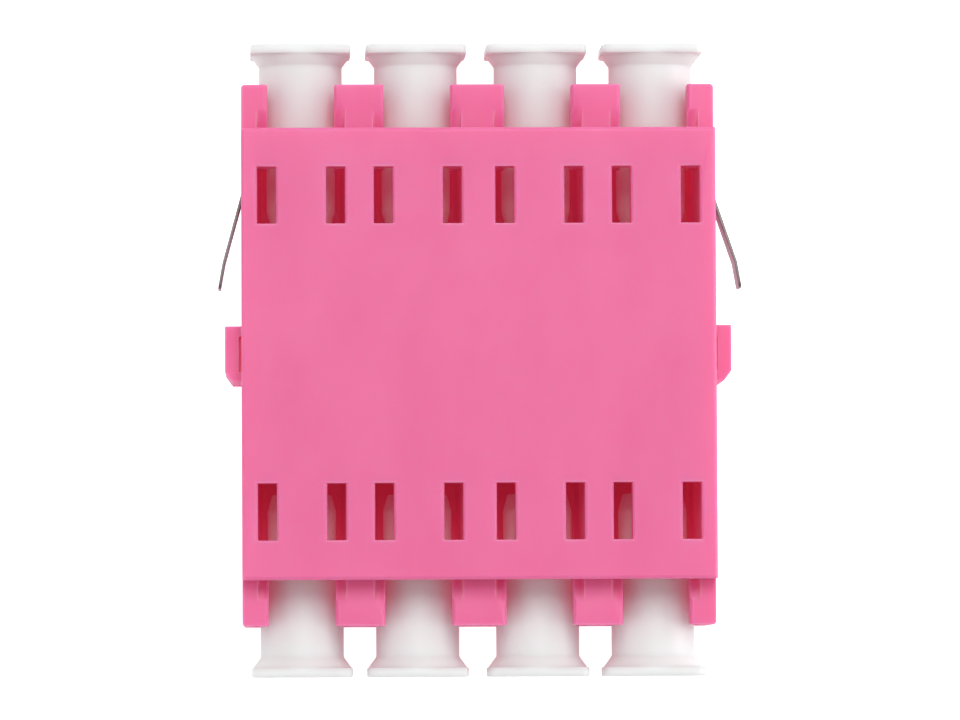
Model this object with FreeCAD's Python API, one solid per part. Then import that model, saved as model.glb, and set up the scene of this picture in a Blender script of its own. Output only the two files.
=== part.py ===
import FreeCAD, Part
import math
import os
from FreeCAD import Vector

# Four-port LC fibre adapter in the duplex SC outline, with a dust cap in every port.
# Millimetres. X runs across the ports, Y along the light path, Z up to the latch side.
# The origin is on the underside, below the centre of the alignment sleeves.

# Port grid
pair_pitch = 6.25              # between the two ports of a duplex pair
middle_pitch = 6.50            # between the two inner ports
ports_a_side = 2               # ports on each side of the centre line
port_width = 4.70
port_height = 4.70
port_corner = 0.25             # flats in the two floor corners of a port
mouth_lead_in = 0.30           # chamfer round the mouth of a port

# Housing
side_wall = 0.86               # outer port to the side face
floor_wall = 1.35              # underside to the floor of a port
ledge_height = 1.50            # latch ledges above the plug passage
ledge_reach = 0.55             # each ledge's overhang into the port
ledge_edge = 0.14              # flat along the inner top edge of a ledge
housing_length = 29.10
housing_edge = 0.12            # flats on the upright corners
underside_edge = 0.25          # chamfer round the underside
finger_pocket_length = 1.15    # sloping pocket in a ledge, next to the cover
finger_pocket_depth = 0.65

# Cover, welded on top of the port walls
cover_length = 24.20
cover_thickness = 1.75
cover_edge = 0.25              # rounding of the outer top edges
latch_room = 0.50              # depth of the channels under the cover
window_length = 3.05
window_width = 1.00
window_centre = 8.47           # from the mid-plane, along Y
window_edge = 0.12             # flat along a window's long edges
tongue_width = 0.70            # weld tongues under the cover
tongue_length = 1.80
tongue_depth = 0.60
tongue_place = 5.00            # from the mid-plane, along Y
tongue_play = 0.04

# Part flange: the two stubs that stop against the panel
flange_reach = 0.90
flange_front = 1.55            # panel side, from the mid-plane
flange_back = 1.45
flange_height = 5.60
flange_bevel_out = 0.40
flange_bevel_back = 0.55
flange_groove_width = 0.14
flange_groove_depth = 0.45
flange_groove_length = 1.90

# Sleeve holders: two flanged halves back to back in each port
holder_flange = 5.30           # square
holder_flange_thickness = 0.65
holder_web = 0.60              # housing wall that carries each flange
holder_play = 0.05
tube_diameter = 2.90
tube_reach = 4.40              # from the mid-plane
lip_reach = 0.12               # lip at the end of a tube that keeps the sleeve in
lip_flare = 0.10               # the lip's hole opens towards the plug, to lead the ferrule in

# Split alignment sleeves
sleeve_bore = 1.25
sleeve_wall = 0.185
sleeve_length = 6.80
sleeve_slit = 0.30
sleeve_play = 0.04
sleeve_end_play = 0.06

# Spring clips, one folded strip on each side
strip_thickness = 0.15
strip_width = 2.40
strip_play = 0.15              # beside the strip in its recess
ear_width = 3.40               # cross-head at the root of a strip
ear_length = 0.60
ear_play = 0.05
ear_slot_depth = 0.37
rail_thickness = 0.16          # wall left outside a cross-head
clip_root = 10.10              # cross-head's centre, from the mid-plane
clip_rise_end = 5.05           # where the strip bends back towards the side
clip_tip = 3.65
clip_angle_left = 15.3         # degrees away from the side face, as each strip is set
clip_angle_right = 18.8        # degrees
clip_tip_angle = 10.0          # degrees
clip_bend = 0.60               # radius on the strip's middle line
clip_edge = 0.30               # radius on the two corners of the tip
recess_end = 2.90              # end of the recess that the strip presses into
insert_gap = 0.90              # open length of the slot where the cross-head goes in

# Dust caps
cap_play = 0.10                # round the stem in its port
cap_depth = 7.55               # inside the port, when pushed home
cap_plug_length = 3.70         # narrower plug at the stem's inner end
cap_plug_step = 0.40           # off the stem's radius
cap_reach = 2.32               # from the mouth to the flat end, when pushed home
cap_gap_front = 0.42           # the front caps are not pushed quite home
cap_head_width = 5.45
cap_head_corner = 0.40         # flats on the four corners
cap_rim = 0.50                 # thickness of the square head
cap_flare = 0.60               # from the round stem out to the head
cap_ledge = 0.03               # the head stands out round the flare
cap_bore = 2.80
cap_end_wall = 1.00

# Worked out from the values above
port_centres = [side * (middle_pitch / 2 + step * pair_pitch)
                for side in (-1, 1) for step in range(ports_a_side)]
port_centres.sort()
half_port = port_width / 2
half_width = port_centres[-1] + half_port + side_wall
half_length = housing_length / 2
port_top = floor_wall + port_height
axis_height = floor_wall + port_height / 2
deck_height = port_top + ledge_height
cover_top = deck_height + cover_thickness
half_cover = cover_length / 2
half_slot = half_port - ledge_reach
catch_face = window_centre + window_length / 2
web_face = holder_flange_thickness + holder_web
pocket_half_width = holder_flange / 2 + holder_play
sleeve_diameter = sleeve_bore + 2 * sleeve_wall
chamber_diameter = sleeve_diameter + 2 * sleeve_play
chamber_half = sleeve_length / 2 + sleeve_end_play
lip_bore = chamber_diameter - 2 * lip_reach
recess_floor = half_width - rail_thickness - ear_slot_depth
clip_x = recess_floor + ear_slot_depth / 2
mid_height = cover_top / 2
cap_stem_diameter = min(port_width, port_height) - 2 * cap_play
cap_inner_end = half_length - cap_depth
cap_outer_end = half_length + cap_reach
spare = 1.0                    # how far cutting tools run past a face

X_AXIS, Y_AXIS, Z_AXIS = Vector(1, 0, 0), Vector(0, 1, 0), Vector(0, 0, 1)


def box(x_range, y_range, z_range):
    """Box between two limits on each axis."""
    (x0, x1), (y0, y1), (z0, z1) = x_range, y_range, z_range
    return Part.makeBox(x1 - x0, y1 - y0, z1 - z0, Vector(x0, y0, z0))


def rod(diameter, start, direction, length):
    return Part.makeCylinder(diameter / 2, length, start, direction)


def cone(diameter_a, diameter_b, start, direction, length):
    return Part.makeCone(diameter_a / 2, diameter_b / 2, length, start, direction)


def face_of(points):
    """Flat face inside a closed run of straight edges."""
    return Part.Face(Part.makePolygon(points + points[:1]))


def other_end(shape):
    """The same shape at the other end of the light path."""
    return shape.mirror(Vector(0, 0, 0), Y_AXIS)


def other_side(shape):
    return shape.mirror(Vector(0, 0, 0), X_AXIS)


def moved(shape, x):
    copy = shape.copy()
    copy.translate(Vector(x, 0, 0))
    return copy


def edges_where(shape, test):
    """Straight edges whose two ends both pass the test."""
    straight = [edge for edge in shape.Edges if isinstance(edge.Curve, Part.Line)]
    return [edge for edge in straight if all(test(end.Point) for end in edge.Vertexes)]


def near(value, target):
    return abs(value - target) < 1e-6


# ---------------------------------------------------------------- housing

def housing_block():
    """Plain outer block, with its upright corners and underside eased."""
    block = box((-half_width, half_width), (-half_length, half_length), (0, deck_height))
    upright = [edge for edge in block.Edges if near(abs(edge.tangentAt(0).z), 1)]
    underside = [edge for edge in block.Edges if all(near(end.Z, 0) for end in edge.Vertexes)]
    return block.makeChamfer(housing_edge, upright).common(block.makeChamfer(underside_edge, underside))


def port_profile(y):
    """Section through a port and the latch slot between its ledges, at the given Y."""
    half = [(half_port - port_corner, floor_wall), (half_port, floor_wall + port_corner),
            (half_port, port_top), (half_slot, port_top), (half_slot, deck_height - ledge_edge),
            (half_slot + ledge_edge, deck_height), (half_slot + ledge_edge, deck_height + spare)]
    outline = half + [(-x, z) for x, z in reversed(half)]
    return face_of([Vector(x, y, z) for x, z in outline])


def mouth_funnel():
    """Lead-in round the mouth of a port."""
    def outline(y, grow):
        x, z0, z1 = half_port + grow, floor_wall - grow, port_top + grow
        corners = [(-x, z0), (x, z0), (x, z1), (-x, z1)]
        points = [Vector(cx, y, cz) for cx, cz in corners]
        return Part.makePolygon(points + points[:1])

    rings = [outline(half_length - mouth_lead_in, 0), outline(half_length, mouth_lead_in)]
    return Part.makeLoft(rings, True, True)


def finger_pocket():
    """Pocket across a ledge, with a floor that slopes up from the cover's edge."""
    start, low = half_cover - cover_edge, deck_height - finger_pocket_depth
    slope = finger_pocket_depth / finger_pocket_length
    end, top = half_cover + finger_pocket_length + spare, deck_height + spare * slope
    side = [Vector(half_slot - spare, y, z)
            for y, z in ((start, top), (start, low), (half_cover, low), (end, top))]
    return face_of(side).extrude(Vector(half_port - half_slot + spare, 0, 0))


def port_void():
    """All that is cut away for one port at the +Y end, centred on X = 0."""
    passage = port_profile(web_face).extrude(Vector(0, half_length + spare - web_face, 0))
    catch = box((-half_port, half_port), (web_face, catch_face), (axis_height, deck_height + spare))
    pocket = finger_pocket()
    return passage.fuse([catch, mouth_funnel(), pocket, other_side(pocket)])


def holder_pocket():
    """Slot that takes the flanges of both holder halves, and the tubes' way in."""
    depth = holder_flange_thickness + holder_play / 2
    low = axis_height - pocket_half_width
    slot = box((-pocket_half_width, pocket_half_width), (-depth, depth), (low, deck_height + spare))
    half_way = tube_diameter / 2 + holder_play
    gate = box((-half_way, half_way), (-web_face - spare, web_face + spare),
               (axis_height - half_way, deck_height + spare))
    return slot.fuse(gate)


def tongues(play):
    """Weld tongues over the three inner port walls, or with play the slots that take them."""
    walls = [(a + b) / 2 for a, b in zip(port_centres, port_centres[1:])]
    half_x, half_y = tongue_width / 2 + play, tongue_length / 2 + play
    low, high = deck_height - tongue_depth - play, deck_height + latch_room
    return [box((x - half_x, x + half_x), (y - half_y, y + half_y), (low, high))
            for x in walls for y in (-tongue_place, tongue_place)]


def clip_recess():
    """Recess in the +X side that the strip presses into, with the slot for its cross-head."""
    half_strip = strip_width / 2 + strip_play
    half_ear = ear_width / 2 + ear_play
    slot_start = clip_root - ear_length / 2 - ear_play
    slot_end = clip_root + ear_length / 2 + ear_play
    insert_end = slot_end + insert_gap
    outside = half_width + spare
    strip_bed = box((recess_floor, outside), (recess_end, insert_end),
                    (mid_height - half_strip, mid_height + half_strip))
    ear_slot = box((recess_floor, half_width - rail_thickness), (slot_start, insert_end),
                   (mid_height - half_ear, mid_height + half_ear))
    way_in = box((recess_floor, outside), (slot_end, insert_end),
                 (mid_height - half_ear, mid_height + half_ear))
    return strip_bed.fuse([ear_slot, way_in])


def flange_stub():
    """Stub of the flange on the +X side, bevelled at its back corner."""
    low, high = mid_height - flange_height / 2, mid_height + flange_height / 2
    root, out = half_width - side_wall / 2, half_width + flange_reach
    plan = [Vector(root, -flange_back, low), Vector(out - flange_bevel_out, -flange_back, low),
            Vector(out, -flange_back + flange_bevel_back, low), Vector(out, flange_front, low),
            Vector(root, flange_front, low)]
    stub = face_of(plan).extrude(Vector(0, 0, high - low))
    middle = (flange_front - flange_back) / 2
    groove = box((half_width, half_width + flange_groove_width),
                 (middle - flange_groove_length / 2, middle + flange_groove_length / 2),
                 (high - flange_groove_depth, high + spare))
    return stub.cut(groove)


def housing():
    one_port = port_void()
    both_ends = [one_port, other_end(one_port), holder_pocket()]
    voids = [moved(shape, x) for x in port_centres for shape in both_ends]
    recess, stub = clip_recess(), flange_stub()
    body = housing_block().fuse([stub, other_side(stub)])
    return body.cut(voids + tongues(tongue_play) + [recess, other_side(recess)]).removeSplitter()


# ---------------------------------------------------------------- cover

def windows():
    """Two windows over the latch catches of each port, at each end."""
    places = [x + side * (half_port - window_width / 2) for x in port_centres for side in (-1, 1)]
    half = window_length / 2
    return [box((x - window_width / 2, x + window_width / 2), (end * window_centre - half,
                end * window_centre + half), (deck_height - spare, cover_top + spare))
            for x in places for end in (-1, 1)]


def cover_plate():
    plate = box((-half_width, half_width), (-half_cover, half_cover), (deck_height, cover_top))
    rim = [edge for edge in plate.Edges if all(near(end.Z, cover_top) for end in edge.Vertexes)]
    plate = plate.makeFillet(cover_edge, rim).cut(windows())
    inside = half_width - cover_edge - window_edge

    def on_window(point):
        return near(point.z, cover_top) and abs(point.x) < inside

    long_edges = [edge for edge in edges_where(plate, on_window)
                  if near(abs(edge.tangentAt(edge.FirstParameter).y), 1)]
    return plate.makeChamfer(window_edge, long_edges)


def latch_channel():
    """Room for one plug latch under the cover."""
    return box((-half_port, half_port), (-half_cover - spare, half_cover + spare),
               (deck_height - spare, deck_height + latch_room))


def hold_down_rib():
    """Rib that closes a holder pocket and keeps the flanges down."""
    half = holder_flange_thickness - holder_play
    low = axis_height + pocket_half_width
    return box((-holder_flange / 2, holder_flange / 2), (-half, half),
               (low, deck_height + latch_room))


def cover():
    plate = cover_plate().cut([moved(latch_channel(), x) for x in port_centres])
    ribs = [moved(hold_down_rib(), x) for x in port_centres]
    return plate.fuse(ribs + tongues(0)).removeSplitter()


# ---------------------------------------------------------------- sleeve holders and sleeves

def holder_half():
    """Square flange and tube of the holder half on the +Y side."""
    half = holder_flange / 2
    flange = box((-half, half), (0, holder_flange_thickness), (axis_height - half, axis_height + half))
    middle = Vector(0, 0, axis_height)
    tube = rod(tube_diameter, middle, Y_AXIS, tube_reach)
    chamber = rod(chamber_diameter, middle, Y_AXIS, chamber_half)
    lip = cone(lip_bore, lip_bore + 2 * lip_flare, middle + Y_AXIS * chamber_half, Y_AXIS,
               tube_reach - chamber_half)
    return flange.fuse(tube).cut([chamber, lip]).removeSplitter()


def split_sleeve():
    """Slit ceramic tube that lines up two ferrules."""
    half = sleeve_length / 2
    start = Vector(0, -half, 0)
    tube = rod(sleeve_diameter, start, Y_AXIS, sleeve_length)
    tube = tube.cut(rod(sleeve_bore, start, Y_AXIS, sleeve_length))
    slit = box((-sleeve_slit / 2, sleeve_slit / 2), (-half - spare, half + spare), (0, sleeve_diameter))
    sleeve = tube.cut(slit)
    sleeve.translate(Vector(0, 0, axis_height))
    return sleeve


# ---------------------------------------------------------------- spring clips

def strip_line(rise_angle):
    """Middle line of a strip on the +X side, from its root to its tip."""
    rise = math.tan(math.radians(rise_angle))
    turn = math.tan(math.radians(clip_tip_angle))
    root = clip_root + ear_length / 2
    leave = clip_root - ear_length / 2
    x_bend = clip_x + rise * (leave - clip_rise_end)
    x_tip = x_bend + turn * (clip_rise_end - clip_tip)
    return [(clip_x, root), (clip_x, leave), (x_bend, clip_rise_end), (x_tip, clip_tip)]


def beside(points, distance):
    """The line's corners moved sideways, to the right of its run when distance is positive."""
    runs = [(b - a).normalize() for a, b in zip(points, points[1:])]
    sides = [Vector(run.y, -run.x, 0) for run in runs]
    shifted = [points[0] + sides[0] * distance]
    for corner, one, two in zip(points[1:], sides, sides[1:]):
        middle = (one + two).normalize()
        shifted.append(corner + middle * (distance / middle.dot(one)))
    return shifted + [points[-1] + sides[-1] * distance]


def rounded_run(corners, radii):
    """Straight runs joined by tangent arcs, one radius for each inner corner."""
    edges, start = [], corners[0]
    for before, corner, after, radius in zip(corners, corners[1:], corners[2:], radii):
        back = (before - corner).normalize()
        ahead = (after - corner).normalize()
        half_turn = (math.pi - back.getAngle(ahead)) / 2
        reach = radius * math.tan(half_turn)
        middle = (back + ahead).normalize() * (radius / math.cos(half_turn) - radius)
        arc_start, arc_end = corner + back * reach, corner + ahead * reach
        edges.append(Part.LineSegment(start, arc_start).toShape())
        edges.append(Part.Arc(arc_start, corner + middle, arc_end).toShape())
        start = arc_end
    edges.append(Part.LineSegment(start, corners[-1]).toShape())
    return edges


def folded_strip(points, low, width):
    """Strip of sheet standing on edge along a line of corners, folded round each of them."""
    line = [Vector(x, y, low) for x, y in points]
    half = strip_thickness / 2
    turns = [(b - a).cross(c - b).z for a, b, c in zip(line, line[1:], line[2:])]
    faces = [beside(line, side * half) for side in (1, -1)]
    edges = []
    for side, corners in zip((1, -1), faces):
        radii = [clip_bend + side * half * math.copysign(1, turn) for turn in turns]
        edges += rounded_run(corners, radii)
    for one, two in ((faces[0][0], faces[1][0]), (faces[0][-1], faces[1][-1])):
        edges.append(Part.LineSegment(one, two).toShape())
    section = Part.Face(Part.Wire(Part.__sortEdges__(edges)))
    return section.extrude(Vector(0, 0, width))


def spring_clip(rise_angle):
    """Folded strip on the +X side: cross-head at its root, tongue and bent tip."""
    neck, half = clip_root - ear_length / 2, strip_width / 2
    outside = half_width + 2 * flange_reach
    strip = folded_strip(strip_line(rise_angle), mid_height - ear_width / 2, ear_width)
    tongue = box((0, outside), (clip_tip, neck), (mid_height - half, mid_height + half))
    tip = [edge for edge in tongue.Edges if near(abs(edge.tangentAt(0).x), 1)
           and near(edge.Vertexes[0].Y, clip_tip)]
    head = box((0, half_width), (neck, clip_root + ear_length), (0, cover_top))
    return strip.common(tongue.makeFillet(clip_edge, tip).fuse(head)).removeSplitter()


# ---------------------------------------------------------------- dust caps

def dust_cap():
    """Hollow cap in a +Y port: narrow plug, round stem, flared neck and square head."""
    middle = Vector(0, 0, axis_height)
    shoulder = cap_inner_end + cap_plug_length
    head_start = cap_outer_end - cap_rim
    flare_start = head_start - cap_flare
    plug = rod(cap_stem_diameter - 2 * cap_plug_step, middle + Y_AXIS * cap_inner_end, Y_AXIS,
               cap_plug_length)
    stem = rod(cap_stem_diameter, middle + Y_AXIS * shoulder, Y_AXIS, flare_start - shoulder)
    flare = cone(cap_stem_diameter, cap_head_width - 2 * cap_ledge,
                 middle + Y_AXIS * flare_start, Y_AXIS, cap_flare)
    half = cap_head_width / 2
    head = box((-half, half), (head_start, cap_outer_end), (axis_height - half, axis_height + half))
    corners = [edge for edge in head.Edges if near(abs(edge.tangentAt(0).y), 1)]
    head = head.makeChamfer(cap_head_corner, corners)
    hole = rod(cap_bore, middle + Y_AXIS * (cap_inner_end - spare), Y_AXIS,
               cap_outer_end - cap_end_wall - cap_inner_end + spare)
    return plug.fuse([stem, flare, head]).cut(hole).removeSplitter()


# ---------------------------------------------------------------- nodes

def nodes():
    """Every piece by its name, in the order in which the adapter is put together."""
    pieces = {"housing": housing()}
    holder, sleeve, cap = holder_half(), split_sleeve(), dust_cap()
    front_cap = other_end(cap)
    front_cap.translate(Y_AXIS * -cap_gap_front)
    for number, x in enumerate(port_centres, 1):
        pieces[f"sleeve_holder_front_{number}"] = moved(other_end(holder), x)
        pieces[f"sleeve_holder_rear_{number}"] = moved(holder, x)
        pieces[f"alignment_sleeve_{number}"] = moved(sleeve, x)
    pieces["cover"] = cover()
    pieces["spring_clip_right"] = spring_clip(clip_angle_right)
    pieces["spring_clip_left"] = other_side(spring_clip(clip_angle_left))
    for number, x in enumerate(port_centres, 1):
        pieces[f"dust_cap_front_{number}"] = moved(front_cap, x)
        pieces[f"dust_cap_rear_{number}"] = moved(cap, x)
    return pieces


os.makedirs("parts", exist_ok=True)
for name, shape in nodes().items():
    shape.exportStep(f"parts/{name}.step")
    print(name, "solids", len(shape.Solids), "valid", shape.isValid(), "volume", round(shape.Volume, 3))
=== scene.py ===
import math

import bmesh
import bpy
from mathutils import Matrix, Vector


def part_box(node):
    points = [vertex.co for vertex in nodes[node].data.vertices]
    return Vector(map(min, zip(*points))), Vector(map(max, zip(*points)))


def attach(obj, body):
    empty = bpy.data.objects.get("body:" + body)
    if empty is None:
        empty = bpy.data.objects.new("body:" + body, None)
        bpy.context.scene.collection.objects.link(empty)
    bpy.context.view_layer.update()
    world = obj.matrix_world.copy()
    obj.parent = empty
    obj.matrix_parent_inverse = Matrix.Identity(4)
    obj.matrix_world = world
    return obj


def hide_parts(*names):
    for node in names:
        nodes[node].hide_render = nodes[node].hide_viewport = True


# Four-port LC fibre adapter: the pink welded housing and cover, the holders with their
# split sleeves, the two spring clips and the eight dust caps. Everything is in metres.

MM = 0.001
PORTS = range(1, 5)
ENDS = ("front", "rear")
SIDES = ("left", "right")

# Rounding of the edges of each kind of piece
HOUSING_EDGE = 0.035 * MM
COVER_EDGE = 0.045 * MM
HOLDER_EDGE = 0.05 * MM
SLEEVE_EDGE = 0.035 * MM
STRIP_EDGE = 0.03 * MM
EDGE_STEPS = 2
SHARP_ANGLE = math.radians(32)     # a sharper turn than this is an edge
FLAT_ANGLE = math.radians(0.5)     # a smaller turn than this is still flat
WELD_DISTANCE = 1e-7

# Dust caps
CAP_STEM_RADIUS = 2.25 * MM
CAP_PLUG_LENGTH = 3.70 * MM    # narrower plug at the stem's inner end
CAP_PLUG_STEP = 0.40 * MM
CAP_NOSE_LENGTH = 0.90 * MM    # the plug's end is drawn in
CAP_NOSE_STEP = 0.25 * MM
CAP_BORE_RADIUS = 1.40 * MM
CAP_END_WALL = 1.00 * MM
CAP_RIM = 0.50 * MM            # thickness of the square head
CAP_FLARE = 0.60 * MM          # from the round stem out to the head
CAP_LEDGE = 0.03 * MM          # the head stands out round the flare
CAP_ROUND_POWER = 2.0          # a circle
CAP_SQUARE_POWER = 10.0        # a square with small rounded corners
CAP_CORNERS = 4
CAP_SEGMENTS = 128
CAP_CROWDING = 0.6             # how far the segments crowd towards the corners

# Roundings along a dust cap's section, from its bore out to its head
ARC_STEPS = 4
NO_ROUNDING = 0
BORE_FLOOR_ROUNDING = 0.25 * MM
BORE_MOUTH_ROUNDING = 0.03 * MM
NOSE_ROUNDING = 0.05 * MM
TAPER_ROUNDING = 0.80 * MM
PLUG_ROUNDING = 0.10 * MM
SHOULDER_ROUNDING = 0.12 * MM
NECK_ROUNDING = 0.25 * MM
LEDGE_ROUNDING = 0.02 * MM
HEAD_ROUNDING = 0.09 * MM

# Patterns in the surfaces, in object coordinates
FLOW_STRETCH = (1.0, 0.45, 1.0)    # marks of the melt are longer along the ports
FLOW_DETAIL = 3.0
FLOW_ROUGHNESS = 0.55
FLOW_RANGE = (0.38, 0.66)
GRAIN_DETAIL = 2.0
PIT_SCALE = 0.45                   # pits are coarser than the grain
PIT_SHARE = 0.5
BLOTCH_SCALE = 420.0
BLOTCH_DETAIL = 4.0
BLOTCH_RANGE = (0.35, 0.65)
LINE_DETAIL = 3.0
EDGE_SAMPLES = 3
CAVITY_SAMPLES = 3

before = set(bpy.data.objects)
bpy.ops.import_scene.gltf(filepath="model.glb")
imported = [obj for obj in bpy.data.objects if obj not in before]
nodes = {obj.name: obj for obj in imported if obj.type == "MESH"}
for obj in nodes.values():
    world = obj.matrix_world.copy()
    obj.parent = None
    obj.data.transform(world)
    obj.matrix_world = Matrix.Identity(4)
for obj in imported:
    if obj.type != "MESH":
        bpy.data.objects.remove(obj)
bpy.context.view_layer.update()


# ---------------------------------------------------------------- shader node groups

def new_group(name, kind):
    """Empty node group with its two end nodes."""
    group = bpy.data.node_groups.new(name, kind)
    start = group.nodes.new("NodeGroupInput")
    end = group.nodes.new("NodeGroupOutput")
    return group, start, end


def add_socket(group, name, kind, way="INPUT", value=None):
    """Named input or output of a group, with its default value."""
    socket = group.interface.new_socket(name=name, in_out=way, socket_type=kind)
    if value is not None:
        socket.default_value = value


def add_node(tree, kind, **settings):
    """Node of a kind, with its own settings."""
    node = tree.nodes.new(kind)
    for key, value in settings.items():
        setattr(node, key, value)
    return node


def set_sockets(node, **values):
    """Sets a node's inputs by their names, with _ for a space."""
    for key, value in values.items():
        node.inputs[key.replace("_", " ")].default_value = value


def set_range(node, low_high):
    """Spread of values that a Map Range node stretches over its whole output."""
    low, high = low_high
    set_sockets(node, From_Min=low, From_Max=high)


def join(tree, source, target):
    """Link from one node's output to another node's input."""
    tree.links.new(source, target)


def make_drift_group():
    """Slow change of colour through a moulding, from the flow of the melt."""
    group, start, end = new_group("melt_drift", "ShaderNodeTree")
    add_socket(group, "Colour", "NodeSocketColor", value=(0.8, 0.8, 0.8, 1))
    add_socket(group, "Second Colour", "NodeSocketColor", value=(0.7, 0.7, 0.7, 1))
    add_socket(group, "Patch Scale", "NodeSocketFloat", value=200.0)
    add_socket(group, "Amount", "NodeSocketFloat", value=0.3)
    add_socket(group, "Colour", "NodeSocketColor", way="OUTPUT")
    place = add_node(group, "ShaderNodeTexCoord")
    stretch = add_node(group, "ShaderNodeMapping")
    set_sockets(stretch, Scale=FLOW_STRETCH)
    noise = add_node(group, "ShaderNodeTexNoise")
    set_sockets(noise, Detail=FLOW_DETAIL, Roughness=FLOW_ROUGHNESS)
    limits = add_node(group, "ShaderNodeMapRange")
    set_range(limits, FLOW_RANGE)
    share = add_node(group, "ShaderNodeMath", operation="MULTIPLY")
    mix = add_node(group, "ShaderNodeMix", data_type="RGBA")
    join(group, place.outputs["Object"], stretch.inputs["Vector"])
    join(group, stretch.outputs["Vector"], noise.inputs["Vector"])
    join(group, start.outputs["Patch Scale"], noise.inputs["Scale"])
    join(group, noise.outputs["Fac"], limits.inputs["Value"])
    join(group, limits.outputs["Result"], share.inputs[0])
    join(group, start.outputs["Amount"], share.inputs[1])
    join(group, share.outputs[0], mix.inputs["Factor"])
    join(group, start.outputs["Colour"], mix.inputs["A"])
    join(group, start.outputs["Second Colour"], mix.inputs["B"])
    join(group, mix.outputs["Result"], end.inputs["Colour"])
    return group


def make_skin_group():
    """Fine spark-eroded skin of a mould, as a height and a change of gloss."""
    group, start, end = new_group("mould_skin", "ShaderNodeTree")
    add_socket(group, "Grain Scale", "NodeSocketFloat", value=6000.0)
    add_socket(group, "Gloss Low", "NodeSocketFloat", value=0.35)
    add_socket(group, "Gloss High", "NodeSocketFloat", value=0.50)
    add_socket(group, "Height", "NodeSocketFloat", way="OUTPUT")
    add_socket(group, "Roughness", "NodeSocketFloat", way="OUTPUT")
    place = add_node(group, "ShaderNodeTexCoord")
    grain = add_node(group, "ShaderNodeTexNoise")
    set_sockets(grain, Detail=GRAIN_DETAIL)
    pits = add_node(group, "ShaderNodeTexVoronoi", feature="F1")
    pit_scale = add_node(group, "ShaderNodeMath", operation="MULTIPLY")
    pit_scale.inputs[1].default_value = PIT_SCALE
    pit_share = add_node(group, "ShaderNodeMath", operation="MULTIPLY")
    pit_share.inputs[1].default_value = PIT_SHARE
    total = add_node(group, "ShaderNodeMath", operation="ADD")
    blotch = add_node(group, "ShaderNodeTexNoise")
    set_sockets(blotch, Scale=BLOTCH_SCALE, Detail=BLOTCH_DETAIL)
    gloss = add_node(group, "ShaderNodeMapRange")
    set_range(gloss, BLOTCH_RANGE)
    for texture in (grain, pits, blotch):
        join(group, place.outputs["Object"], texture.inputs["Vector"])
    join(group, start.outputs["Grain Scale"], grain.inputs["Scale"])
    join(group, start.outputs["Grain Scale"], pit_scale.inputs[0])
    join(group, pit_scale.outputs[0], pits.inputs["Scale"])
    join(group, pits.outputs["Distance"], pit_share.inputs[0])
    join(group, grain.outputs["Fac"], total.inputs[0])
    join(group, pit_share.outputs[0], total.inputs[1])
    join(group, total.outputs[0], end.inputs["Height"])
    join(group, blotch.outputs["Fac"], gloss.inputs["Value"])
    join(group, start.outputs["Gloss Low"], gloss.inputs["To Min"])
    join(group, start.outputs["Gloss High"], gloss.inputs["To Max"])
    join(group, gloss.outputs["Result"], end.inputs["Roughness"])
    return group


def make_edge_group():
    """Mask that is white along the edges of a piece and fades within a set reach."""
    group, start, end = new_group("edge_mask", "ShaderNodeTree")
    add_socket(group, "Reach", "NodeSocketFloat", value=0.0003)
    add_socket(group, "Strength", "NodeSocketFloat", value=1.0)
    add_socket(group, "Mask", "NodeSocketFloat", way="OUTPUT")
    rounded = add_node(group, "ShaderNodeBevel", samples=EDGE_SAMPLES)
    flat = add_node(group, "ShaderNodeNewGeometry")
    dot = add_node(group, "ShaderNodeVectorMath", operation="DOT_PRODUCT")
    turned = add_node(group, "ShaderNodeMath", operation="SUBTRACT", use_clamp=True)
    turned.inputs[0].default_value = 1.0
    power = add_node(group, "ShaderNodeMath", operation="MULTIPLY", use_clamp=True)
    join(group, start.outputs["Reach"], rounded.inputs["Radius"])
    join(group, rounded.outputs["Normal"], dot.inputs[0])
    join(group, flat.outputs["Normal"], dot.inputs[1])
    join(group, dot.outputs["Value"], turned.inputs[1])
    join(group, turned.outputs[0], power.inputs[0])
    join(group, start.outputs["Strength"], power.inputs[1])
    join(group, power.outputs[0], end.inputs["Mask"])
    return group


def make_lines_group():
    """Long fine lines along Y, as rolling leaves them in strip or grinding in a bar."""
    group, start, end = new_group("drawn_lines", "ShaderNodeTree")
    add_socket(group, "Across Scale", "NodeSocketFloat", value=9000.0)
    add_socket(group, "Along Scale", "NodeSocketFloat", value=250.0)
    add_socket(group, "Lines", "NodeSocketFloat", way="OUTPUT")
    place = add_node(group, "ShaderNodeTexCoord")
    scale = add_node(group, "ShaderNodeCombineXYZ")
    stretch = add_node(group, "ShaderNodeVectorMath", operation="MULTIPLY")
    noise = add_node(group, "ShaderNodeTexNoise")
    set_sockets(noise, Scale=1.0, Detail=LINE_DETAIL)
    join(group, start.outputs["Across Scale"], scale.inputs["X"])
    join(group, start.outputs["Along Scale"], scale.inputs["Y"])
    join(group, start.outputs["Across Scale"], scale.inputs["Z"])
    join(group, place.outputs["Object"], stretch.inputs[0])
    join(group, scale.outputs["Vector"], stretch.inputs[1])
    join(group, stretch.outputs["Vector"], noise.inputs["Vector"])
    join(group, noise.outputs["Fac"], end.inputs["Lines"])
    return group


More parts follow.
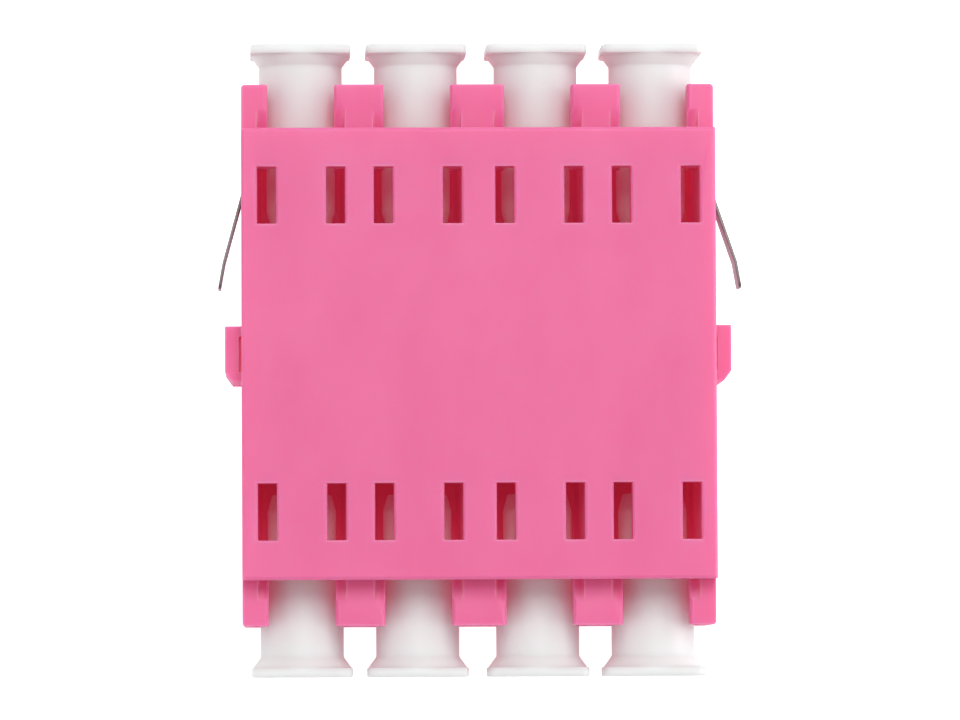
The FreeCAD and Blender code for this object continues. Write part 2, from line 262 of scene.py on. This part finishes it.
def make_cavity_group():
    """Mask that is white deep in a slot or port, where a painted glow stands in for light that
    comes through the plastic.
    """
    group, start, end = new_group("cavity_mask", "ShaderNodeTree")
    add_socket(group, "Reach", "NodeSocketFloat", value=0.006)
    add_socket(group, "Deep", "NodeSocketFloat", value=0.10)
    add_socket(group, "Open", "NodeSocketFloat", value=0.60)
    add_socket(group, "Mask", "NodeSocketFloat", way="OUTPUT")
    shade = add_node(group, "ShaderNodeAmbientOcclusion", samples=CAVITY_SAMPLES)
    limits = add_node(group, "ShaderNodeMapRange", interpolation_type="SMOOTHSTEP")
    set_sockets(limits, To_Min=1.0, To_Max=0.0)
    join(group, start.outputs["Reach"], shade.inputs["Distance"])
    join(group, shade.outputs["AO"], limits.inputs["Value"])
    join(group, start.outputs["Deep"], limits.inputs["From Min"])
    join(group, start.outputs["Open"], limits.inputs["From Max"])
    join(group, limits.outputs["Result"], end.inputs["Mask"])
    return group


drift_group = make_drift_group()
skin_group = make_skin_group()
edge_group = make_edge_group()
lines_group = make_lines_group()
cavity_group = make_cavity_group()


# ---------------------------------------------------------------- materials

BLACK = (0, 0, 0, 1)
WHITE = (1, 1, 1, 1)
PLASTIC_IOR = 1.50
ZIRCONIA_IOR = 2.1


def new_material(name):
    """Material with a plain Principled shader; returns it with its tree and shader."""
    material = bpy.data.materials.new(name)
    material.use_nodes = True
    tree = material.node_tree
    return material, tree, tree.nodes["Principled BSDF"]


def place_group(tree, group, **values):
    """One use of a shared group, with its own values on its inputs."""
    node = add_node(tree, "ShaderNodeGroup", node_tree=group)
    set_sockets(node, **values)
    return node


def add_bump(tree, shader, height, strength, distance):
    """Fine relief on the surface of a shader."""
    bump = add_node(tree, "ShaderNodeBump")
    set_sockets(bump, Strength=strength, Distance=distance)
    join(tree, height, bump.inputs["Height"])
    join(tree, bump.outputs["Normal"], shader.inputs["Normal"])


def add_line_gloss(tree, shader, lines, low_high):
    """Roughness that changes from line to line."""
    rough = add_node(tree, "ShaderNodeMapRange")
    low, high = low_high
    set_sockets(rough, To_Min=low, To_Max=high)
    join(tree, lines, rough.inputs["Value"])
    join(tree, rough.outputs["Result"], shader.inputs["Roughness"])


def moulded_plastic(name, look):
    """Moulded plastic: slow colour drift, the look's edge colour as a painted highlight or painted
    shade on the edges, a fine skin and a painted glow deep in the cavities.
    """
    material, tree, shader = new_material(name)
    drift = place_group(tree, drift_group, Colour=look["colour"], Second_Colour=look["second"],
                        Patch_Scale=look["patch"], Amount=look["drift"])
    skin = place_group(tree, skin_group, Grain_Scale=look["grain"],
                       Gloss_Low=look["gloss"][0], Gloss_High=look["gloss"][1])
    # Painted light on the edges: a painted highlight on the pink pieces, a painted shade on the
    # caps
    edges = place_group(tree, edge_group, Reach=look["edge_reach"], Strength=look["edge"])
    mix = add_node(tree, "ShaderNodeMix", data_type="RGBA")
    set_sockets(mix, B=look["edge_colour"])
    join(tree, edges.outputs["Mask"], mix.inputs["Factor"])
    join(tree, drift.outputs["Colour"], mix.inputs["A"])
    join(tree, mix.outputs["Result"], shader.inputs["Base Color"])
    join(tree, skin.outputs["Roughness"], shader.inputs["Roughness"])
    add_bump(tree, shader, skin.outputs["Height"], look["bump"], look["bump_depth"])
    # Painted glow: emission deep in the cavities stands in for light coming through the pink walls
    cavity = place_group(tree, cavity_group, Reach=look["cavity_reach"], Deep=look["cavity"][0],
                         Open=look["cavity"][1])
    inner = add_node(tree, "ShaderNodeMix", data_type="RGBA")
    set_sockets(inner, A=BLACK, B=look["painted_cavity_glow"])
    join(tree, cavity.outputs["Mask"], inner.inputs["Factor"])
    join(tree, inner.outputs["Result"], shader.inputs["Emission Color"])
    set_sockets(shader, Emission_Strength=1.0, Subsurface_Weight=look["glow"],
                Subsurface_Radius=look["glow_radius"], Subsurface_Scale=look["glow_depth"],
                IOR=PLASTIC_IOR)
    return material


# Moulded pieces. "patch" is the scale of the colour drift, "glow" the share of light that
# enters the plastic, and the cavity values say how far a recess is felt, and how open it is
# where its painted glow is full and where it ends. The edge colour is a painted highlight on
# the pink pieces and a painted shade on the caps.
PINK_LOOK = {
    "colour": (0.78, 0.141, 0.338, 1), "second": (0.74, 0.116, 0.300, 1),
    "patch": 210.0, "drift": 0.6, "grain": 7000.0, "gloss": (0.40, 0.52),
    # painted highlight: paler pink along every edge and round the windows
    "edge_colour": (0.94, 0.34, 0.52, 1), "edge_reach": 0.22 * MM, "edge": 2.2,
    "bump": 0.12, "bump_depth": 0.012 * MM,
    "glow": 0.55, "glow_radius": (1.0, 0.22, 0.36), "glow_depth": 2.0 * MM,
    # painted glow: crimson emission deep in the ports and windows
    "cavity_reach": 6 * MM, "cavity": (0.05, 0.45), "painted_cavity_glow": (0.12, 0.008, 0.019, 1)}
HOLDER_LOOK = {
    "colour": (0.80, 0.175, 0.36, 1), "second": (0.77, 0.155, 0.33, 1),
    "patch": 260.0, "drift": 0.3, "grain": 8000.0, "gloss": (0.36, 0.48),
    # painted highlight: paler pink along the edges
    "edge_colour": (0.91, 0.30, 0.48, 1), "edge_reach": 0.12 * MM, "edge": 0.7,
    "bump": 0.10, "bump_depth": 0.01 * MM,
    "glow": 0.5, "glow_radius": (1.0, 0.22, 0.36), "glow_depth": 0.7 * MM,
    # painted glow: crimson emission deep in the ports
    "cavity_reach": 6 * MM, "cavity": (0.05, 0.45), "painted_cavity_glow": (0.10, 0.007, 0.017, 1)}
CAP_LOOK = {
    "colour": (0.77, 0.81, 0.80, 1), "second": (0.73, 0.77, 0.76, 1),
    "patch": 300.0, "drift": 0.5, "grain": 5200.0, "gloss": (0.42, 0.56),
    # painted shade: grey darkening along the edges and outlines of the cap
    "edge_colour": (0.54, 0.55, 0.545, 1), "edge_reach": 0.45 * MM, "edge": 2.4,
    "bump": 0.14, "bump_depth": 0.015 * MM,
    "glow": 0.7, "glow_radius": (1.0, 0.95, 0.92), "glow_depth": 1.2 * MM,
    # painted glow: reddish emission on the stems deep in the ports, for light off the pink walls
    "cavity_reach": 5 * MM, "cavity": (0.02, 0.25), "painted_cavity_glow": (0.12, 0.020, 0.028, 1)}

# Clips, sleeves and the card that the adapter lies on
STEEL_LOOK = {
    "colour": (0.22, 0.215, 0.21, 1), "second": (0.15, 0.147, 0.14, 1),
    "patch": 500.0, "drift": 0.6,
    "edge_colour": (0.42, 0.41, 0.40, 1), "edge_reach": 0.05 * MM, "edge": 0.8,
    "lines_across": 11000.0, "lines_along": 300.0, "gloss": (0.26, 0.42),
    "bump": 0.25, "bump_depth": 0.01 * MM, "anisotropy": 0.4}
CERAMIC_LOOK = {
    "colour": (0.84, 0.82, 0.77, 1), "second": (0.78, 0.76, 0.71, 1),
    "patch": 700.0, "drift": 0.5,
    "lines_across": 1200.0, "lines_along": 16000.0, "gloss": (0.12, 0.26),
    "bump": 0.10, "bump_depth": 0.006 * MM, "glow": 0.2, "glow_depth": 0.2 * MM}
FLOOR_LOOK = {
    "colour": (0.95, 0.95, 0.95, 1), "second": (0.93, 0.93, 0.93, 1),
    "patch": 12.0, "drift": 0.5,
    "roughness": 0.85, "own_light": 0.25, "seen_light": 0.60}


def make_steel(look):
    """Rolled spring strip: fine lines along the strip, brighter on its worn edges."""
    material, tree, shader = new_material("rolled_spring_steel")
    lines = place_group(tree, lines_group, Across_Scale=look["lines_across"],
                        Along_Scale=look["lines_along"])
    edges = place_group(tree, edge_group, Reach=look["edge_reach"], Strength=look["edge"])
    drift = place_group(tree, drift_group, Colour=look["colour"], Second_Colour=look["second"],
                        Patch_Scale=look["patch"], Amount=look["drift"])
    mix = add_node(tree, "ShaderNodeMix", data_type="RGBA")
    set_sockets(mix, B=look["edge_colour"])
    join(tree, edges.outputs["Mask"], mix.inputs["Factor"])
    join(tree, drift.outputs["Colour"], mix.inputs["A"])
    join(tree, mix.outputs["Result"], shader.inputs["Base Color"])
    add_line_gloss(tree, shader, lines.outputs["Lines"], look["gloss"])
    add_bump(tree, shader, lines.outputs["Lines"], look["bump"], look["bump_depth"])
    set_sockets(shader, Metallic=1.0, Anisotropic=look["anisotropy"])
    return material


def make_ceramic(look):
    """Ground zirconia: warm white, glossy, with faint grinding lines."""
    material, tree, shader = new_material("ground_zirconia")
    drift = place_group(tree, drift_group, Colour=look["colour"], Second_Colour=look["second"],
                        Patch_Scale=look["patch"], Amount=look["drift"])
    lines = place_group(tree, lines_group, Across_Scale=look["lines_across"],
                        Along_Scale=look["lines_along"])
    join(tree, drift.outputs["Colour"], shader.inputs["Base Color"])
    add_line_gloss(tree, shader, lines.outputs["Lines"], look["gloss"])
    add_bump(tree, shader, lines.outputs["Lines"], look["bump"], look["bump_depth"])
    set_sockets(shader, Subsurface_Weight=look["glow"], Subsurface_Scale=look["glow_depth"],
                IOR=ZIRCONIA_IOR)
    return material


def make_floor_white(look):
    """Matt white card, lit from within so that it stays white to the eye."""
    material, tree, shader = new_material("white_card")
    drift = place_group(tree, drift_group, Colour=look["colour"], Second_Colour=look["second"],
                        Patch_Scale=look["patch"], Amount=look["drift"])
    seen = add_node(tree, "ShaderNodeLightPath")
    lift = add_node(tree, "ShaderNodeMath", operation="MULTIPLY_ADD")
    lift.inputs[1].default_value = look["seen_light"]
    lift.inputs[2].default_value = look["own_light"]
    join(tree, seen.outputs["Is Camera Ray"], lift.inputs[0])
    join(tree, lift.outputs[0], shader.inputs["Emission Strength"])
    join(tree, drift.outputs["Colour"], shader.inputs["Base Color"])
    set_sockets(shader, Roughness=look["roughness"], Emission_Color=WHITE)
    return material


pink = moulded_plastic("pink_housing_plastic", PINK_LOOK)
holder_pink = moulded_plastic("pink_holder_plastic", HOLDER_LOOK)
cap_white = moulded_plastic("white_cap_plastic", CAP_LOOK)
steel = make_steel(STEEL_LOOK)
ceramic = make_ceramic(CERAMIC_LOOK)
floor_white = make_floor_white(FLOOR_LOOK)


# ---------------------------------------------------------------- pieces made from the solids

def flat_regions(work):
    """Groups of joined triangles that lie in one plane, taken in the order of the faces."""
    left = set(work.faces)
    for first in work.faces:
        if first not in left:
            continue
        left.discard(first)
        region, front = {first}, [first]
        while front:
            face = front.pop()
            for edge in face.edges:
                for other in edge.link_faces:
                    if other in left and other.normal.angle(first.normal, math.pi) < FLAT_ANGLE:
                        left.discard(other)
                        region.add(other)
                        front.append(other)
        yield region


def has_no_hole(region):
    """True where corners, edges and faces add up as they do for a plain patch."""
    corners = {vert for face in region for vert in face.verts}
    edges = {edge for face in region for edge in face.edges}
    return len(corners) - len(edges) + len(region) == 1


def merged_mesh(node, name):
    """Copy of a node's mesh, with the triangles of each plain flat patch joined into one face."""
    work = bmesh.new()
    work.from_mesh(nodes[node].data)
    bmesh.ops.remove_doubles(work, verts=work.verts, dist=WELD_DISTANCE)
    patches = [region for region in flat_regions(work) if len(region) > 1 and has_no_hole(region)]
    inner = {edge for region in patches for face in region for edge in face.edges
             if set(edge.link_faces) <= region}
    work.edges.index_update()
    in_order = sorted(inner, key=lambda edge: edge.index)
    bmesh.ops.dissolve_edges(work, edges=in_order, use_verts=False)
    mesh = bpy.data.meshes.new(name)
    work.to_mesh(mesh)
    work.free()
    mesh.shade_smooth()
    mesh.set_sharp_from_angle(angle=SHARP_ANGLE)
    return mesh


def show(name, mesh):
    """Object of a mesh, put in the scene."""
    piece = bpy.data.objects.new(name, mesh)
    bpy.context.scene.collection.objects.link(piece)
    return piece


def ease_edges(piece, width):
    """Small rounding on every sharp edge, with the flat faces kept flat in the shading."""
    bevel = piece.modifiers.new("eased_edges", "BEVEL")
    bevel.width = width
    bevel.segments = EDGE_STEPS
    bevel.limit_method = "ANGLE"
    bevel.angle_limit = SHARP_ANGLE
    bevel.use_clamp_overlap = False
    bevel.miter_outer = "MITER_ARC"
    bevel.harden_normals = True
    flatten = piece.modifiers.new("flat_faces", "WEIGHTED_NORMAL")
    flatten.keep_sharp = True


def finished_piece(node, name, body, material, edge):
    """Finished copy of a solid, which stands in for its node."""
    mesh = merged_mesh(node, name)
    mesh.materials.clear()
    mesh.materials.append(material)
    piece = show(name, mesh)
    ease_edges(piece, edge)
    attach(piece, body)
    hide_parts(node)


finished_piece("housing", "moulded_housing", "adapter", pink, HOUSING_EDGE)
finished_piece("cover", "welded_cover", "adapter", pink, COVER_EDGE)
for number in PORTS:
    for end in ENDS:
        finished_piece(f"sleeve_holder_{end}_{number}", f"holder_half_{end}_{number}", "adapter",
                       holder_pink, HOLDER_EDGE)
    finished_piece(f"alignment_sleeve_{number}", f"split_sleeve_{number}", "adapter", ceramic,
                   SLEEVE_EDGE)
for side in SIDES:
    finished_piece(f"spring_clip_{side}", f"folded_clip_{side}", f"spring_clip_{side}_body", steel,
                   STRIP_EDGE)


# ---------------------------------------------------------------- dust caps

def rounded_line(points, steps):
    """Open line through (across, along, power, corner radius) points, its corners rounded."""
    line = [points[0][:3]]
    for before, corner, after in zip(points, points[1:], points[2:]):
        middle, radius = Vector(corner[:2]), corner[3]
        if radius == NO_ROUNDING:
            line.append(corner[:3])
            continue
        back = (Vector(before[:2]) - middle).normalized()
        ahead = (Vector(after[:2]) - middle).normalized()
        half = back.angle(ahead) / 2
        reach = radius / math.tan(half)
        centre = middle + (back + ahead).normalized() * (radius / math.sin(half))
        first, last = middle + back * reach - centre, middle + ahead * reach - centre
        turn = math.pi - 2 * half
        sign = 1 if first.x * last.y - first.y * last.x > 0 else -1
        for step in range(steps + 1):
            spot = centre + Matrix.Rotation(sign * turn * step / steps, 2) @ first
            line.append((spot.x, spot.y, corner[2]))
    return line + [points[-1][:3]]


def cap_profile(width, length):
    """Half section of a dust cap, from the middle of its blind bore round to its flat end."""
    head = width / 2
    head_start = length - CAP_RIM
    flare_start = head_start - CAP_FLARE
    floor = length - CAP_END_WALL
    plug = CAP_STEM_RADIUS - CAP_PLUG_STEP
    round_, square = CAP_ROUND_POWER, CAP_SQUARE_POWER
    corners = [
        (0, floor, round_, NO_ROUNDING),
        (CAP_BORE_RADIUS, floor, round_, BORE_FLOOR_ROUNDING),
        (CAP_BORE_RADIUS, 0, round_, BORE_MOUTH_ROUNDING),
        (plug - CAP_NOSE_STEP, 0, round_, NOSE_ROUNDING),
        (plug, CAP_NOSE_LENGTH, round_, TAPER_ROUNDING),
        (plug, CAP_PLUG_LENGTH, round_, PLUG_ROUNDING),
        (CAP_STEM_RADIUS, CAP_PLUG_LENGTH, round_, SHOULDER_ROUNDING),
        (CAP_STEM_RADIUS, flare_start, round_, NECK_ROUNDING),
        (head - CAP_LEDGE, head_start, round_, NO_ROUNDING),
        (head, head_start, square, LEDGE_ROUNDING),
        (head, length, square, HEAD_ROUNDING),
        (0, length, square, NO_ROUNDING),
    ]
    return rounded_line(corners, ARC_STEPS)


def turned_form_tree():
    """Turns a line round the Y axis, each of its points on a circle or a rounded square."""
    group, start, end = new_group("turned_form", "GeometryNodeTree")
    add_socket(group, "Line", "NodeSocketGeometry")
    add_socket(group, "Segments", "NodeSocketInt", value=64)
    add_socket(group, "Crowding", "NodeSocketFloat", value=0.0)
    add_socket(group, "Axis X", "NodeSocketFloat", value=0.0)
    add_socket(group, "Axis Height", "NodeSocketFloat", value=0.0)
    add_socket(group, "Start", "NodeSocketFloat", value=0.0)
    add_socket(group, "Half Turns", "NodeSocketFloat", value=0.0)
    add_socket(group, "Material", "NodeSocketMaterial")
    add_socket(group, "Form", "NodeSocketGeometry", way="OUTPUT")

    def math_node(operation, first, second=None):
        """Result of one sum, each of its terms a number or another node's result."""
        node = add_node(group, "ShaderNodeMath", operation=operation)
        for socket, value in zip(node.inputs, (first, second)):
            if isinstance(value, (int, float)):
                socket.default_value = value
            elif value is not None:
                join(group, value, socket)
        return node.outputs[0]

    # A plain sheet with one row of points for each point of the line, a ring once it is bent
    count = add_node(group, "GeometryNodeAttributeDomainSize", component="MESH")
    join(group, start.outputs["Line"], count.inputs["Geometry"])
    rings = count.outputs["Point Count"]
    span = math_node("SUBTRACT", rings, 1)
    grid = add_node(group, "GeometryNodeMeshGrid")
    join(group, span, grid.inputs["Size X"])
    set_sockets(grid, Size_Y=1.0)
    join(group, rings, grid.inputs["Vertices X"])
    join(group, math_node("ADD", start.outputs["Segments"], 1), grid.inputs["Vertices Y"])

    # Which ring a point is on, and its angle, crowded towards the corners of the head
    spot = add_node(group, "GeometryNodeInputPosition")
    parts = add_node(group, "ShaderNodeSeparateXYZ")
    join(group, spot.outputs["Position"], parts.inputs["Vector"])
    ring = math_node("ROUND", math_node("ADD", parts.outputs["X"], math_node("DIVIDE", span, 2)))
    even = math_node("MULTIPLY", math_node("ADD", parts.outputs["Y"], 0.5), math.tau)
    wave = math_node("SINE", math_node("MULTIPLY", even, CAP_CORNERS))
    crowd_share = math_node("DIVIDE", start.outputs["Crowding"], CAP_CORNERS)
    crowd = math_node("MULTIPLY", wave, crowd_share)
    angle = math_node("ADD", even, crowd)

    def sampled(kind, value):
        """Value at the point of the line that this ring stands for."""
        node = add_node(group, "GeometryNodeSampleIndex", data_type=kind, domain="POINT")
        join(group, start.outputs["Line"], node.inputs["Geometry"])
        join(group, value, node.inputs["Value"])
        join(group, ring, node.inputs["Index"])
        return node.outputs["Value"]

    line_spot = add_node(group, "GeometryNodeInputPosition")
    line_parts = add_node(group, "ShaderNodeSeparateXYZ")
    join(group, sampled("FLOAT_VECTOR", line_spot.outputs["Position"]), line_parts.inputs["Vector"])
    power_name = add_node(group, "GeometryNodeInputNamedAttribute", data_type="FLOAT")
    set_sockets(power_name, Name="power")
    power = sampled("FLOAT", power_name.outputs["Attribute"])

    # Each ring is a circle at power 2 and nearly a square at a high power
    across, up = math_node("COSINE", angle), math_node("SINE", angle)
    total = math_node("ADD", math_node("POWER", math_node("ABSOLUTE", across), power),
                      math_node("POWER", math_node("ABSOLUTE", up), power))
    shape = math_node("POWER", total, math_node("DIVIDE", -1, power))
    reach = math_node("MULTIPLY", line_parts.outputs["X"], shape)
    place = add_node(group, "ShaderNodeCombineXYZ")
    along = math_node("ADD", line_parts.outputs["Y"], start.outputs["Start"])
    join(group, math_node("MULTIPLY", reach, across), place.inputs["X"])
    join(group, along, place.inputs["Y"])
    join(group, math_node("MULTIPLY", reach, up), place.inputs["Z"])
    bend = add_node(group, "GeometryNodeSetPosition")
    join(group, grid.outputs["Mesh"], bend.inputs["Geometry"])
    join(group, place.outputs["Vector"], bend.inputs["Position"])
    weld = add_node(group, "GeometryNodeMergeByDistance")
    set_sockets(weld, Distance=WELD_DISTANCE)
    join(group, bend.outputs["Geometry"], weld.inputs["Geometry"])

    # Turned to its end of the adapter and set on the axis of its port
    turn = add_node(group, "ShaderNodeCombineXYZ")
    join(group, math_node("MULTIPLY", start.outputs["Half Turns"], math.pi), turn.inputs["Z"])
    shift = add_node(group, "ShaderNodeCombineXYZ")
    join(group, start.outputs["Axis X"], shift.inputs["X"])
    join(group, start.outputs["Axis Height"], shift.inputs["Z"])
    move = add_node(group, "GeometryNodeTransform")
    join(group, weld.outputs["Geometry"], move.inputs["Geometry"])
    join(group, shift.outputs["Vector"], move.inputs["Translation"])
    join(group, turn.outputs["Vector"], move.inputs["Rotation"])
    plain = add_node(group, "GeometryNodeRealizeInstances")
    paint = add_node(group, "GeometryNodeSetMaterial")
    join(group, move.outputs["Geometry"], plain.inputs["Geometry"])
    join(group, plain.outputs["Geometry"], paint.inputs["Geometry"])
    join(group, start.outputs["Material"], paint.inputs["Material"])
    join(group, paint.outputs["Geometry"], end.inputs["Form"])
    return group


def set_inputs(modifier, **values):
    """Sets a tree's named inputs by their identifiers."""
    names = {item.name: item.identifier for item in modifier.node_group.interface.items_tree
             if item.item_type == "SOCKET" and item.in_out == "INPUT"}
    for key, value in values.items():
        modifier[names[key.replace("_", " ")]] = value


def line_mesh(name, line):
    """Mesh of a single line in the XY plane, with the power of each point kept on it."""
    mesh = bpy.data.meshes.new(name)
    steps = [(i, i + 1) for i in range(len(line) - 1)]
    mesh.from_pydata([(across, along, 0) for across, along, power in line], steps, [])
    power = mesh.attributes.new("power", "FLOAT", "POINT")
    power.data.foreach_set("value", [point[2] for point in line])
    return mesh


def plain_mesh(piece, name):
    """The result of a piece's tree as a plain mesh, facing outwards."""
    bpy.context.view_layer.update()
    shaped = piece.evaluated_get(bpy.context.evaluated_depsgraph_get())
    mesh = bpy.data.meshes.new_from_object(shaped)
    mesh.name = name
    work = bmesh.new()
    work.from_mesh(mesh)
    bmesh.ops.recalc_face_normals(work, faces=work.faces)
    work.to_mesh(mesh)
    work.free()
    mesh.shade_smooth()
    mesh.set_sharp_from_angle(angle=SHARP_ANGLE)
    return mesh


def dust_cap(tree, line, end, number):
    """One cap, turned from the shared line and set in its port."""
    node = f"dust_cap_{end}_{number}"
    low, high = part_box(node)
    name = f"cap_{end}_{number}"
    piece = show(name, line)
    shape = piece.modifiers.new("turned_form", "NODES")
    shape.node_group = tree
    start = min(abs(low[1]), abs(high[1]))
    set_inputs(shape, Segments=CAP_SEGMENTS, Crowding=CAP_CROWDING, Axis_X=(low[0] + high[0]) / 2,
               Axis_Height=(low[2] + high[2]) / 2, Start=start,
               Half_Turns=1.0 if end == "front" else 0.0, Material=cap_white)
    mesh = plain_mesh(piece, name)
    piece.modifiers.clear()
    piece.data = mesh
    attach(piece, f"{node}_body")
    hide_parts(node)


cap_low, cap_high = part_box("dust_cap_rear_1")
cap_width, cap_length = cap_high[0] - cap_low[0], cap_high[1] - cap_low[1]
cap_line = line_mesh("cap_section", cap_profile(cap_width, cap_length))
cap_tree = turned_form_tree()
for number in PORTS:
    for end in ENDS:
        dust_cap(cap_tree, cap_line, end, number)


# ---------------------------------------------------------------- floor, light and camera

FLOOR_HALF = 1.5
FLOOR_DROP = 0.01 * MM
CAMERA_DISTANCE = 0.370
CAMERA_LENS = 256.4
CAMERA_TILT = math.radians(-2.8)
CAMERA_TURN = math.radians(1.7)
CAMERA_ROLL = math.radians(0.19)
CAMERA_AIM = Vector((0.000166, -0.000167, 0.00465))
CAMERA_NEAR = 0.01

SKY_COLOUR = (1.0, 1.0, 1.0, 1)
SKY_STRENGTH = 0.53
LAMP_AIM = Vector((0, 0, 0.004))
# Name, place, width of the square lamp and power in watts
LAMPS = (("key", (0.06, 0.38, 0.86), 0.42, 4.1),
         ("side", (0.20, 0.00, 0.045), 0.10, 0.14),
         ("fill", (-0.50, -0.10, 0.60), 0.60, 0.9))


def make_floor():
    """Wide flat card just under the adapter."""
    mesh = bpy.data.meshes.new("floor")
    corners = [(-1, -1), (1, -1), (1, 1), (-1, 1)]
    mesh.from_pydata([(x * FLOOR_HALF, y * FLOOR_HALF, -FLOOR_DROP) for x, y in corners], [],
                     [(0, 1, 2, 3)])
    mesh.materials.append(floor_white)
    floor = show("floor", mesh)


def make_light(name, place, size, power):
    """Soft square lamp that points at the adapter."""
    lamp = bpy.data.lights.new(name, "AREA")
    lamp.shape = "SQUARE"
    lamp.size = size
    lamp.energy = power
    light = bpy.data.objects.new(name, lamp)
    light.location = place
    light.rotation_euler = (LAMP_AIM - Vector(place)).to_track_quat("-Z", "Y").to_euler()
    bpy.context.scene.collection.objects.link(light)


def make_world():
    """Even white light from all round."""
    world = bpy.data.worlds.new("studio")
    world.use_nodes = True
    sky = world.node_tree.nodes["Background"]
    set_sockets(sky, Color=SKY_COLOUR, Strength=SKY_STRENGTH)
    bpy.context.scene.world = world


def make_camera():
    """Long lens almost straight above the side with the catch windows."""
    lens = bpy.data.cameras.new("camera")
    lens.lens = CAMERA_LENS
    lens.clip_start = CAMERA_NEAR
    camera = bpy.data.objects.new("camera", lens)
    turn = (Matrix.Rotation(CAMERA_ROLL, 4, "Z") @ Matrix.Rotation(CAMERA_TURN, 4, "Y")
            @ Matrix.Rotation(CAMERA_TILT, 4, "X"))
    camera.matrix_world = (Matrix.Translation(CAMERA_AIM) @ turn.inverted()
                           @ Matrix.Translation((0, 0, CAMERA_DISTANCE)))
    bpy.context.scene.collection.objects.link(camera)
    bpy.context.scene.camera = camera


make_floor()
make_world()
for lamp_name, lamp_place, lamp_size, lamp_power in LAMPS:
    make_light(lamp_name, lamp_place, lamp_size, lamp_power)
make_camera()
bpy.context.scene.view_settings.view_transform = "Standard"
